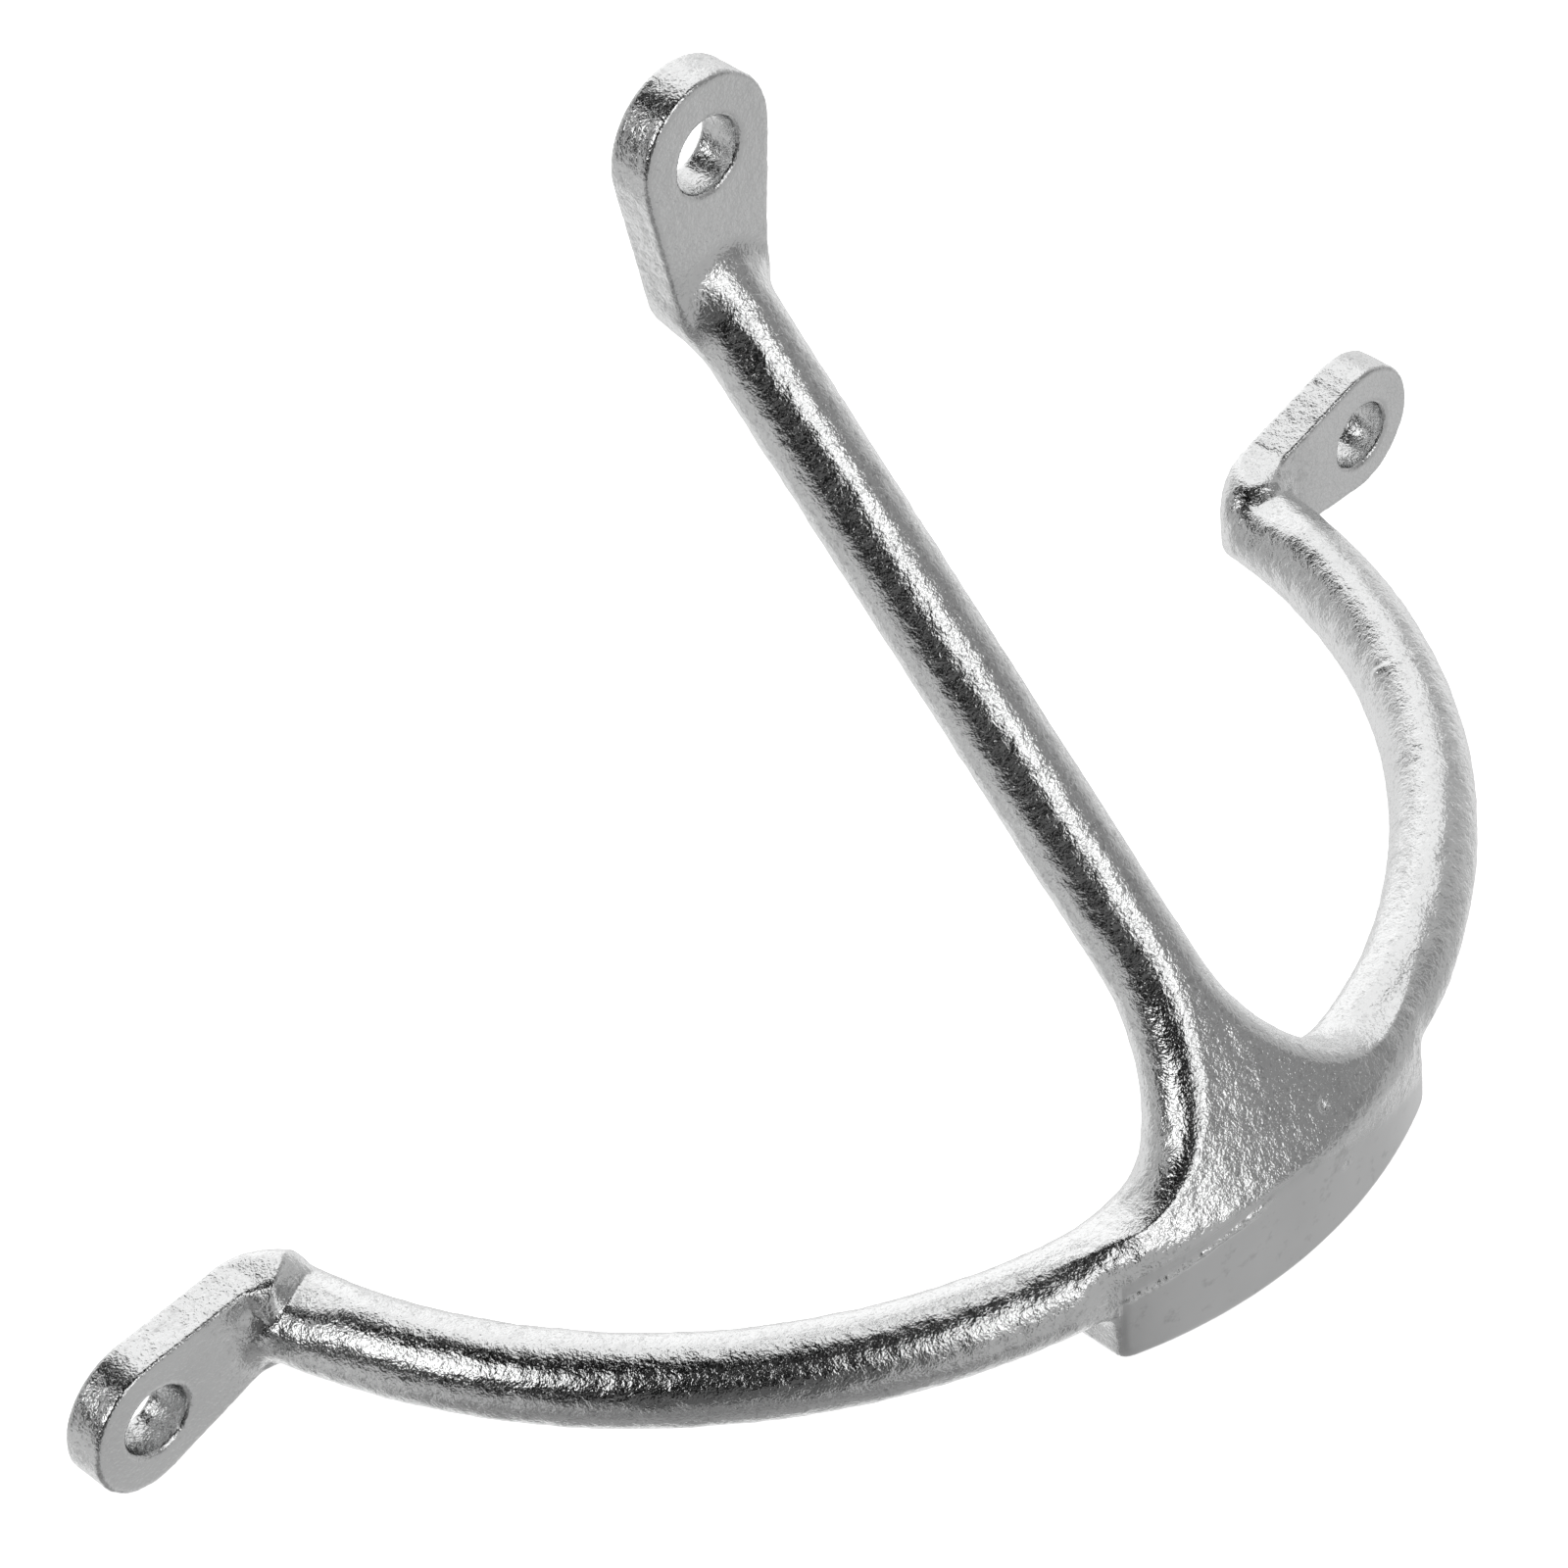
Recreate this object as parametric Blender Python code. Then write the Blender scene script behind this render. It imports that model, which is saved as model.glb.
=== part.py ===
"""Bow-shaped rope horn with three bolted lugs, a straight brace and a wear pad.

A half-round bow of bar stands out from a wall between two side lugs, and a
straight brace rises from the middle of the bow to an upper lug. Metres, +Z up.
The wall is a plane facing -Y behind the lugs, X = 0 is the plane of symmetry,
and Z = 0 is the level of the pad and of the side lugs' lower edges. The origin
is the middle of the footprint, at that level.
"""
import math

import bmesh
import bpy
from mathutils import Matrix, Vector

# Whole bracket
HOLE_SPACING = 0.184          # between the side lugs' bolt holes
HOLE_DIAMETER = 0.008
UPPER_HOLE_RISE = 0.0987      # upper bolt hole above the two side holes
SEAM_GAP = 0.0003             # joint line between neighbouring members

# Lugs
LUG_THICKNESS = 0.0050
LUG_HEAD_RADIUS = 0.0080
LUG_HOLE_DROP = 0.0005        # hole below the middle of the lug's round head
LUG_NECK_HALF_HEIGHT = 0.0064
LUG_NECK_LENGTH = 0.012       # from the hole to the lug's joint with its arm
LUG_EDGE_RADIUS = 0.0006
UPPER_HEAD_RADIUS = 0.0081
UPPER_SHOULDER_DROP = 0.0147  # shoulder below the upper hole
UPPER_SHOULDER_HALF = 0.0059
UPPER_TIP_RADIUS = 0.0049
UPPER_TIP_DROP = 0.0182       # middle of its round lower end below the upper hole

# Bow
BOW_RADIUS = 0.0747           # to the middle of the bar
BOW_CENTRE_DEPTH = 0.0117     # its centre, behind the lugs' front faces
BOW_BAR_RADIUS = 0.0047
BOW_RISE = 0.0024             # its front stands higher than its ends
BOW_END_LIFT = 0.0004         # middle of the bar above the side holes, at the lugs
BEND_RADIUS = 0.0066          # bend from the bow out into a side lug
BEND_SPREAD = 1.6             # the bar spreads to the lug's height this much sooner than it thins
ARM_SEAM_X = 0.0280           # joint between an arm and the crown

# Brace
BRACE_BAR_RADIUS = 0.00465
BRACE_TOP_RISE = 0.0799       # where its middle meets the lug, above the side holes
BRACE_SLOPE = math.radians(49.5)
BRACE_SEAM_DISTANCE = 0.0740  # from that point down to the joint with the crown

# Crown and pad
CROWN_FILLET_WIDTH = 0.0193   # web between the brace and the arms, to each side
CROWN_FILLET_LENGTH = 0.0230
CROWN_FILLET_START = 0.0745   # distance down the brace where the web starts to flare
CROWN_FOOT_DROP = 0.0060      # the web runs on below the middle of the bow's bar
FACE_RADIUS = 0.0480          # rounded front face of crown and pad
FACE_TOP_Z = 0.0112           # top of the face where it stands proud of the arms
FACE_DEPTH = 0.0070
PAD_HALF_WIDTH = 0.0228
PAD_HEIGHT = 0.0049
PAD_DEPTH = 0.0086
PAD_EDGE_RADIUS = 0.0008
OVERALL_DEPTH = 0.0746        # wall to the pad's front

# Facets
RING_CORNER_POINTS = 8
HOLE_SEGMENTS = 48
ARC_STEPS = 18
BEND_STEPS = 8
CROWN_STEPS = 14
FACE_STEPS = 24
DRUM_SEGMENTS = 144

WALL_Y = OVERALL_DEPTH / 2
LUG_FRONT_Y = WALL_Y - LUG_THICKNESS
LUG_MIDDLE_Y = WALL_Y - LUG_THICKNESS / 2
FACE_FRONT_Y = -OVERALL_DEPTH / 2
FACE_CENTRE_Y = FACE_FRONT_Y + FACE_RADIUS
SIDE_HEAD_Z = LUG_HEAD_RADIUS
SIDE_HOLE_Z = SIDE_HEAD_Z - LUG_HOLE_DROP
UPPER_HOLE_Z = SIDE_HOLE_Z + UPPER_HOLE_RISE
UPPER_HEAD_Z = UPPER_HOLE_Z + LUG_HOLE_DROP
BOW_CENTRE_Y = LUG_FRONT_Y + BOW_CENTRE_DEPTH
BOW_FRONT_Y = BOW_CENTRE_Y - BOW_RADIUS
LUG_SEAM_X = HOLE_SPACING / 2 - LUG_NECK_LENGTH

BRACE_TOP = Vector((0.0, LUG_FRONT_Y, SIDE_HOLE_Z + BRACE_TOP_RISE))
BRACE_DOWN = Vector((0.0, -math.cos(BRACE_SLOPE), -math.sin(BRACE_SLOPE)))
BRACE_OUT = Vector((0.0, -math.sin(BRACE_SLOPE), math.cos(BRACE_SLOPE)))
ACROSS = Vector((1.0, 0.0, 0.0))
UP = Vector((0.0, 0.0, 1.0))


def clear_scene():
    for item in list(bpy.data.objects):
        bpy.data.objects.remove(item, do_unlink=True)


def plated_metal(name, grey, roughness):
    material = bpy.data.materials.new(name)
    material.use_nodes = True
    shader = material.node_tree.nodes["Principled BSDF"]
    shader.inputs["Base Color"].default_value = (grey, grey, grey, 1.0)
    shader.inputs["Metallic"].default_value = 1.0
    shader.inputs["Roughness"].default_value = roughness
    material.diffuse_color = (grey, grey, grey, 1.0)
    return material


def add_object(name, mesh_data, material):
    bmesh.ops.recalc_face_normals(mesh_data, faces=mesh_data.faces)
    mesh = bpy.data.meshes.new(name)
    mesh_data.to_mesh(mesh)
    mesh_data.free()
    mesh.materials.append(material)
    mesh.shade_smooth()
    mesh.set_sharp_from_angle(angle=math.radians(35))
    item = bpy.data.objects.new(name, mesh)
    bpy.context.scene.collection.objects.link(item)
    return item


def boolean(item, operation, other):
    """Cut or join with a helper solid, which stays in the file as a hidden guide."""
    other.hide_render = True
    other.display_type = "WIRE"
    modifier = item.modifiers.new(other.name, "BOOLEAN")
    modifier.operation = operation
    modifier.solver = "EXACT"
    modifier.object = other


def rounded_ring(half_width, half_height, corner):
    """Points round a rectangle with round corners, as (width, height) pairs."""
    corner = min(corner, half_width, half_height)
    points = []
    for quarter in range(4):
        side = (1, -1, -1, 1)[quarter]
        level = (1, 1, -1, -1)[quarter]
        for step in range(RING_CORNER_POINTS):
            angle = math.radians(90) * (quarter + (step + 0.5) / RING_CORNER_POINTS)
            points.append((side * (half_width - corner) + corner * math.cos(angle),
                           level * (half_height - corner) + corner * math.sin(angle)))
    return points


def loft(rings):
    """Closed solid through rings of points, flat across both ends."""
    mesh_data = bmesh.new()
    loops = [[mesh_data.verts.new(point) for point in ring] for ring in rings]
    for before, after in zip(loops, loops[1:]):
        for index in range(len(before)):
            following = (index + 1) % len(before)
            mesh_data.faces.new((before[index], before[following], after[following], after[index]))
    mesh_data.faces.new(loops[0])
    mesh_data.faces.new(loops[-1])
    return mesh_data


def extrude(outline, direction):
    """Closed solid between a flat outline and the same outline moved along direction."""
    mesh_data = bmesh.new()
    face = mesh_data.faces.new([mesh_data.verts.new(point) for point in outline])
    grown = bmesh.ops.extrude_face_region(mesh_data, geom=[face])
    moved = [part for part in grown["geom"] if isinstance(part, bmesh.types.BMVert)]
    bmesh.ops.translate(mesh_data, verts=moved, vec=direction)
    return mesh_data


def arc(centre_x, centre_y, radius, start, end, steps):
    """Points of an arc in a plane, from one angle to another."""
    turns = [start + (end - start) * step / steps for step in range(steps + 1)]
    return [(centre_x + radius * math.cos(turn), centre_y + radius * math.sin(turn)) for turn in turns]


def bow_height(y):
    """Level of the middle of the bow's bar at a distance from the wall."""
    ahead = (LUG_FRONT_Y - y) / (LUG_FRONT_Y - BOW_FRONT_Y)
    return SIDE_HOLE_Z + BOW_END_LIFT + BOW_RISE * ahead


def bow_ring(angle):
    """Round section of the bow at an angle from its front."""
    outward = Vector((math.sin(angle), -math.cos(angle), 0.0))
    middle = Vector((0.0, BOW_CENTRE_Y, 0.0)) + BOW_RADIUS * outward
    middle.z = bow_height(middle.y)
    ring = rounded_ring(BOW_BAR_RADIUS, BOW_BAR_RADIUS, BOW_BAR_RADIUS)
    return [middle + outward * across + UP * level for across, level in ring]


def smooth_step(value):
    value = min(max(value, 0.0), 1.0)
    return value * value * (3 - 2 * value)


def arm_rings():
    """Sections of the right arm: the bow's bar, then its bend flattening into the lug."""
    bend_y = LUG_MIDDLE_Y - BEND_RADIUS
    reach = BOW_RADIUS + BEND_RADIUS
    bend_x = math.sqrt(reach ** 2 - (bend_y - BOW_CENTRE_Y) ** 2)
    last_angle = math.atan2(bend_x, BOW_CENTRE_Y - bend_y)
    first_angle = math.asin((ARM_SEAM_X + SEAM_GAP / 2) / BOW_RADIUS)
    rings = []
    for step in range(ARC_STEPS):
        rings.append(bow_ring(first_angle + (last_angle - first_angle) * step / ARC_STEPS))

    bend_middle = Vector((bend_x, bend_y, 0.0))
    arm_level = bow_height(LUG_FRONT_Y)
    for step in range(BEND_STEPS + 1):
        done = step / BEND_STEPS
        turn = last_angle * (1 - done)
        inward = Vector((-math.sin(turn), math.cos(turn), 0.0))
        middle = bend_middle + BEND_RADIUS * inward
        middle.z = arm_level + (SIDE_HEAD_Z - arm_level) * done
        flat = smooth_step(done)
        tall = smooth_step(BEND_SPREAD * done)
        half_thickness = BOW_BAR_RADIUS + (LUG_THICKNESS / 2 - BOW_BAR_RADIUS) * flat
        half_height = BOW_BAR_RADIUS + (LUG_NECK_HALF_HEIGHT - BOW_BAR_RADIUS) * tall
        corner = BOW_BAR_RADIUS + (LUG_EDGE_RADIUS - BOW_BAR_RADIUS) * flat
        ring = rounded_ring(half_thickness, half_height, corner)
        rings.append([middle - inward * across + UP * level for across, level in ring])

    end_x = LUG_SEAM_X - SEAM_GAP
    if bend_x < end_x:
        rings.append([Vector((end_x, point.y, point.z)) for point in rings[-1]])
    return rings


def mirrored(rings, side):
    """The same sections on the right (side 1) or on the left (side -1)."""
    return [[Vector((side * point.x, point.y, point.z)) for point in ring] for ring in rings]


def bolt_hole(name, x, z):
    """Cutter for a bolt hole through a lug, along Y."""
    mesh_data = bmesh.new()
    turned = Matrix.Translation((x, LUG_MIDDLE_Y, z)) @ Matrix.Rotation(math.radians(90), 4, "X")
    bmesh.ops.create_cone(mesh_data, cap_ends=True, segments=HOLE_SEGMENTS, radius1=HOLE_DIAMETER / 2,
                          radius2=HOLE_DIAMETER / 2, depth=3 * LUG_THICKNESS, matrix=turned)
    return add_object(name, mesh_data, plated_metal(name, 0.5, 0.3))


def round_edges(mesh_data, radius, kept_sharp):
    """Round the edges of the two flat faces of a plate, except those kept sharp."""
    edges = [edge for edge in mesh_data.edges
             if abs(edge.verts[0].co.y - edge.verts[1].co.y) < radius / 10 and not kept_sharp(edge)]
    bmesh.ops.bevel(mesh_data, geom=edges, offset=radius, segments=2, profile=0.5, affect="EDGES")


def side_lug(name, side, material):
    """Flat lug at one end of the bow, with its bolt hole."""
    hole_x = HOLE_SPACING / 2
    taper = math.atan2(LUG_HEAD_RADIUS - LUG_NECK_HALF_HEIGHT, LUG_NECK_LENGTH)
    tangent = math.radians(90) + taper
    outline = arc(hole_x, SIDE_HEAD_Z, LUG_HEAD_RADIUS, -tangent, tangent, FACE_STEPS)
    outline.append((LUG_SEAM_X, SIDE_HEAD_Z + LUG_NECK_HALF_HEIGHT))
    outline.append((LUG_SEAM_X, SIDE_HEAD_Z - LUG_NECK_HALF_HEIGHT))
    points = [(side * x, LUG_FRONT_Y, z) for x, z in outline]
    mesh_data = extrude(points, (0.0, LUG_THICKNESS, 0.0))

    def at_seam(edge):
        return all(abs(abs(vert.co.x) - LUG_SEAM_X) < SEAM_GAP for vert in edge.verts)

    round_edges(mesh_data, LUG_EDGE_RADIUS, at_seam)
    lug = add_object(name, mesh_data, material)
    boolean(lug, "DIFFERENCE", bolt_hole(name + "_hole", side * hole_x, SIDE_HOLE_Z))
    return lug


def upper_lug(name, material):
    """Flat lug at the top of the brace: round head, tapered sides and a slanted tip."""
    shoulder_z = UPPER_HOLE_Z - UPPER_SHOULDER_DROP
    tip_z = UPPER_HOLE_Z - UPPER_TIP_DROP
    outline = arc(0.0, UPPER_HEAD_Z, UPPER_HEAD_RADIUS, math.radians(-8), math.radians(188), FACE_STEPS)
    outline.append((-UPPER_SHOULDER_HALF, shoulder_z))
    for step in range(FACE_STEPS // 2 + 1):
        turn = math.radians(180) + math.radians(180) * step / (FACE_STEPS // 2)
        outline.append((UPPER_TIP_RADIUS * math.cos(turn), tip_z + UPPER_TIP_RADIUS * math.sin(turn)))
    outline.append((UPPER_SHOULDER_HALF, shoulder_z))
    points = [(x, LUG_FRONT_Y, z) for x, z in outline]
    mesh_data = extrude(points, (0.0, LUG_THICKNESS, 0.0))
    round_edges(mesh_data, LUG_EDGE_RADIUS, lambda edge: False)

    below = BRACE_TOP - BRACE_OUT * BRACE_BAR_RADIUS
    cut = bmesh.ops.bisect_plane(mesh_data, geom=mesh_data.verts[:] + mesh_data.edges[:] + mesh_data.faces[:],
                                 plane_co=below, plane_no=-BRACE_OUT, clear_outer=True)
    rim = [part for part in cut["geom_cut"] if isinstance(part, bmesh.types.BMEdge)]
    bmesh.ops.contextual_create(mesh_data, geom=rim)
    lug = add_object(name, mesh_data, material)
    boolean(lug, "DIFFERENCE", bolt_hole(name + "_hole", 0.0, UPPER_HOLE_Z))
    return lug


def brace_ring(distance):
    """Round section square to the brace, at a distance down from the upper lug."""
    middle = BRACE_TOP + BRACE_DOWN * distance
    ring = rounded_ring(BRACE_BAR_RADIUS, BRACE_BAR_RADIUS, BRACE_BAR_RADIUS)
    return [middle + ACROSS * across + BRACE_OUT * level for across, level in ring]


def brace(name, material):
    """Straight bar whose top is cut flat against the upper lug's front face."""
    seated = []
    for point in brace_ring(0.0):
        travel = (LUG_FRONT_Y - SEAM_GAP - point.y) / BRACE_DOWN.y
        seated.append(point + BRACE_DOWN * travel)
    rings = [seated, brace_ring(BRACE_SEAM_DISTANCE - SEAM_GAP / 2)]
    return add_object(name, loft(rings), material)


def web_half_width(distance):
    """Half-width of the web: the brace's, flaring with an elliptical fillet to each side."""
    down = min(max((distance - CROWN_FILLET_START) / CROWN_FILLET_LENGTH, 0.0), 1.0)
    return BRACE_BAR_RADIUS + CROWN_FILLET_WIDTH * (1 - math.sqrt(1 - down ** 2))


def web_rings():
    """Sections of the web from the brace's size to the width between the arms."""
    first = BRACE_SEAM_DISTANCE + SEAM_GAP / 2
    bow_front = Vector((0.0, BOW_FRONT_Y, bow_height(BOW_FRONT_Y)))
    last = (bow_front - BRACE_TOP).dot(BRACE_DOWN) + CROWN_FOOT_DROP
    rings = []
    for step in range(CROWN_STEPS + 1):
        done = step / CROWN_STEPS
        distance = first + (last - first) * math.sin(done * math.radians(90))
        middle = BRACE_TOP + BRACE_DOWN * distance
        half_width = web_half_width(distance)
        follow = smooth_step((distance - first) / (CROWN_FILLET_START + CROWN_FILLET_LENGTH - first))
        ring = []
        for across, level in rounded_ring(half_width, BRACE_BAR_RADIUS, BRACE_BAR_RADIUS):
            curve = FACE_RADIUS - math.sqrt(FACE_RADIUS ** 2 - across ** 2)
            ring.append(middle + ACROSS * across + BRACE_OUT * level + Vector((0.0, curve * follow, 0.0)))
        rings.append(ring)
    return rings


def face_block(half_width, depth, bottom, top):
    """Block with a round front face and a parallel back, cut off square at both ends."""
    def arc_at(radius, reverse):
        end = math.asin(half_width / radius)
        points = arc(0.0, FACE_CENTRE_Y, radius, math.radians(-90) - end, math.radians(-90) + end, FACE_STEPS)
        return points[::-1] if reverse else points

    outline = arc_at(FACE_RADIUS, False) + arc_at(FACE_RADIUS - depth, True)
    return extrude([(x, y, bottom) for x, y in outline], (0.0, 0.0, top - bottom))


def crown(name, material):
    """Middle of the bow with the web that joins it to the brace, and the round front face."""
    span = math.asin((ARM_SEAM_X - SEAM_GAP / 2) / BOW_RADIUS)
    bow = [bow_ring(-span + 2 * span * step / CROWN_STEPS) for step in range(CROWN_STEPS + 1)]
    body = add_object(name, loft(bow), material)
    web = add_object(name + "_web", loft(web_rings()), material)
    boolean(web, "INTERSECT", front_trim(name + "_trim", material))
    boolean(body, "UNION", web)
    face = face_block(PAD_HALF_WIDTH, FACE_DEPTH, PAD_HEIGHT + SEAM_GAP, FACE_TOP_Z)
    boolean(body, "UNION", add_object(name + "_face", face, material))
    return body


def front_trim(name, material):
    """Upright drum that holds the space behind the front face and above the pad."""
    bottom = PAD_HEIGHT + SEAM_GAP
    height = UPPER_HOLE_Z
    mesh_data = bmesh.new()
    middle = Matrix.Translation((0.0, FACE_CENTRE_Y, bottom + height / 2))
    bmesh.ops.create_cone(mesh_data, cap_ends=True, segments=DRUM_SEGMENTS, radius1=FACE_RADIUS,
                          radius2=FACE_RADIUS, depth=height, matrix=middle)
    return add_object(name, mesh_data, material)


def wear_pad(name, material):
    """Pad under the middle of the bow, on which the bracket stands."""
    mesh_data = face_block(PAD_HALF_WIDTH, PAD_DEPTH, 0.0, PAD_HEIGHT)
    lower = [edge for edge in mesh_data.edges
             if max(edge.verts[0].co.z, edge.verts[1].co.z) < PAD_HEIGHT / 2]
    bmesh.ops.bevel(mesh_data, geom=lower, offset=PAD_EDGE_RADIUS, segments=3, profile=0.5, affect="EDGES")
    return add_object(name, mesh_data, material)


def main():
    clear_scene()
    for side, label in ((-1, "left"), (1, "right")):
        side_lug(label + "_lug", side, plated_metal(label + "_lug", 0.62, 0.32))
        rings = mirrored(arm_rings(), side)
        add_object(label + "_arm", loft(rings), plated_metal(label + "_arm", 0.66, 0.26))
    upper_lug("upper_lug", plated_metal("upper_lug", 0.62, 0.32))
    brace("brace_bar", plated_metal("brace_bar", 0.66, 0.26))
    crown("crown", plated_metal("crown", 0.60, 0.34))
    wear_pad("wear_pad", plated_metal("wear_pad", 0.58, 0.36))


main()
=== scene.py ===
"""Looks of the cleat horn: a bow-shaped bracket, one bright-plated casting, cut where its members meet.

The casting's skin is the zero level of one signed distance, so that every member flows into the next with
real fillets. It is meshed, given its cast relief and cut along the frame's seams into one closed piece for
each member. Shape values are millimetres in the row frame: X = 0 is the middle, +Y is towards the wall.
"""
import math

import bmesh
import bpy
import numpy as np
from mathutils import Matrix, Vector, noise


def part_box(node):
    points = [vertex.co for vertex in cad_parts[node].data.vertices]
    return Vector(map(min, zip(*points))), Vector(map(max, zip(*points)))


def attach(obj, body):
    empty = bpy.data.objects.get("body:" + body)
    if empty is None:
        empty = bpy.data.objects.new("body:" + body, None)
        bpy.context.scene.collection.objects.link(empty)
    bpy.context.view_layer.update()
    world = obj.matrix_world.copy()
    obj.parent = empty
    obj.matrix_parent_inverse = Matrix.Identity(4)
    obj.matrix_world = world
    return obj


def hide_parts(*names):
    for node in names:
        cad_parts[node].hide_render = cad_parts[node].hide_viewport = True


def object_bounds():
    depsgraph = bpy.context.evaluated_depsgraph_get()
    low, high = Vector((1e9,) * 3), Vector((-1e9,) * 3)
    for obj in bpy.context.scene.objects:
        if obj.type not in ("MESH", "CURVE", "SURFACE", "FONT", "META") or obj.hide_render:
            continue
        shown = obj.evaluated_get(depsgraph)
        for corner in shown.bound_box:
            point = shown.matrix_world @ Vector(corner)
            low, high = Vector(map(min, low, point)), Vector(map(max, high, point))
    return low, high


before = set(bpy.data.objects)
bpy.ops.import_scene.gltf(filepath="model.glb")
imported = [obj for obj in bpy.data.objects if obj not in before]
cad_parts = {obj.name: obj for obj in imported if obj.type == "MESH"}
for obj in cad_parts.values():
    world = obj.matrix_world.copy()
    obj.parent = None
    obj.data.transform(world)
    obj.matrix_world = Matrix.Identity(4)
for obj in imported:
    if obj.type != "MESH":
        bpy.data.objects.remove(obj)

cad_low, cad_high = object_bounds()
CAD_BOX = [list(cad_low), list(cad_high)]
MM = 0.001

# ---------------------------------------------------------------- places that the frame gives
lug_low, lug_high = (np.array(corner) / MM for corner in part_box("right_lug"))
upper_high = np.array(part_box("upper_lug")[1]) / MM
pad_low, pad_high = (np.array(corner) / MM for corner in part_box("wear_pad"))
arm_high = np.array(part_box("right_arm")[1]) / MM
WALL_Y = lug_high[1]
FRONT_Y = lug_low[1]
LUG_T = WALL_Y - FRONT_Y
MID_Y = (WALL_Y + FRONT_Y) / 2
LUG_SEAM_X = (arm_high[0] + lug_low[0]) / 2
PAD_TOP_Z = pad_high[2]
HOLE_X = lug_high[0] - 8.0
HOLE_Z = 7.5
UPPER_HOLE_Z = upper_high[2] - 8.6
HOLE_R = 4.0
HOLE_DRAFT = 0.3                # how much smaller a hole's radius is at the back
LEFT_DRAFT = 0.95
HOLE_EDGE = 0.7
BACK_EDGE = 0.3
FAR = 50.0                      # stands for "nothing here" in a distance

# ---------------------------------------------------------------- the bow, an arc in plan
BOW_R = 74.7
BOW_CY = FRONT_Y + 11.7
BOW_FRONT_Y = BOW_CY - BOW_R
BOW_X = -0.52
BOW_BAR = 4.62
BOW_BAR_END = 4.83
SWELL_TURN = 0.7                # where the bar starts to grow, in radians from the middle of the bow
SWELL_SPAN = 0.6
BOW_END_LIFT = 0.4
BOW_RISE = 2.4
ARM_LIFT_SPAN = (20, 50, 80, 8)     # start and length of the rise, end and length of the fall
ARM_PUSH_SPAN = (8, 25, 88, 30)

# ---------------------------------------------------------------- its bends into the side lugs
LUG_NECK_X = 78.0
LUG_EDGE = 0.5
LUG_BLEND = 0.3
BEND_R = 5.63
BEND_THICK = 5.13
BEND_HALF = 3.86
BEND_EASE = 8.0
BEND_PAST = 0.4                 # the bar's distance grows past the bend, where the lug takes over
STEP_DEPTH = 2.6                # the bar takes the lug's height from this far in front of the lug
STEP_LENGTH = 2.4
STEP_SLANT = 0.35               # and from further in front towards the bow
EDGE_RATE = 1.2                 # how fast the bar's round edges turn into the lug's small ones
EDGE_DELAY = 0.1
FILLET = 2.8                    # width of the hollow corner, which grows in front of the lug
FILLET_DEPTH = 1.2
FILLET_LEAD = 0.85
FILLET_OUT = 0.5                # and from the inner to the outer side of the bow
FILLET_SPAN = 3
FILLET_REACH = 9.0

# ---------------------------------------------------------------- brace and web
BRACE_BAR = 4.61
BRACE_SLOPE = math.radians(49.75)
BRACE_TOP = np.array([0.0, FRONT_Y, HOLE_Z + 80.14])
BRACE_START_Y = FRONT_Y + 1.0
BRACE_LENGTH = 96.0
BRACE_SEAM = 74.15
DOWN = np.array([0.0, -math.cos(BRACE_SLOPE), -math.sin(BRACE_SLOPE)])
OUT = np.array([0.0, -math.sin(BRACE_SLOPE), math.cos(BRACE_SLOPE)])
WEB_X = -0.33
WEB_X_SPAN = 12
WEB_TOP = 74.0
WEB_END = 104.0
WEB_REACH = 40.0
WEB_LAST = 0.995                # share of the web's length where its flare is held
WEB_STEEPEST = 4.0
WEB_BLEND = 2.0
CROTCH_BLEND = 1.2              # added on the inner side of the bow
CROTCH_START = 1
CROTCH_SPAN = 3

# ---------------------------------------------------------------- rounded front and pad
FACE_R = 54.9
FACE_X = 1.29
FACE_CY = pad_low[1] + 0.2 + FACE_R
FACE_TOP_Z = HOLE_Z + 3.7
FACE_TOP_EDGE = 5.0
FACE_DEPTH = 8.6
FACE_BLEND = 1.6
FACE_EDGE = 0.9
FACE_REACH = 34
FACE_CURL = 0.1                 # how fast the rounded front lets the arms out past the pad's ends
PAD_BOTTOM_Z = 0.4
PAD_BOTTOM_EDGE = 1.2
PAD_END_EDGE = 0.5

# ---------------------------------------------------------------- upper lug
UPPER_LIFT = 0.35
UPPER_R = 8.25
UPPER_SHOULDER = 6.07
UPPER_SHOULDER_DROP = 15.5
UPPER_TIP = 3.87
UPPER_TIP_DROP = 2.85
UPPER_FOOT_EDGE = 1.2
UPPER_BLEND = 3.0

# A hand-finished casting isn't quite the same on both sides. For each side: the side lug's half-heights at
# head and neck, the lift of its head, how much higher its neck is and how far its head is past the hole; the
# pad's end; how far the arm is lifted and moved towards the wall; the web's start, length and width; and the
# stretch of the bend, in shares of its length, over which the bar takes the lug's height.
LEFT = {"head": 7.6, "neck": 5.99, "lift": 0.1, "tilt": 1.28, "reach": 0.4, "pad": 22.6,
        "arm_lift": 0.36, "arm_push": -0.1, "web_start": 74.75, "web_length": 23.1, "web_width": 20.0,
        "spread_from": 0.06, "spread": 0.2}
RIGHT = {"head": 7.98, "neck": 5.72, "lift": 0.48, "tilt": -0.57, "reach": 0.02, "pad": 23.1,
         "arm_lift": 0.44, "arm_push": -0.84, "web_start": 76.5, "web_length": 23.2, "web_width": 19.8,
         "spread_from": 0.0, "spread": 0.34}

CELL = 0.3
BLOCK = 8                       # cells along each side of a block
BLOCK_REACH = 1.7               # blocks whose middle is within this many sizes of the skin are meshed


def smooth_min(a, b, width):
    near = np.maximum(width - np.abs(a - b), 0.0) / width
    return np.minimum(a, b) - near * near * width / 4


def smooth_max(a, b, width):
    return -smooth_min(-a, -b, width)


def smooth_step(t):
    t = np.clip(t, 0.0, 1.0)
    return t * t * (3 - 2 * t)


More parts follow.
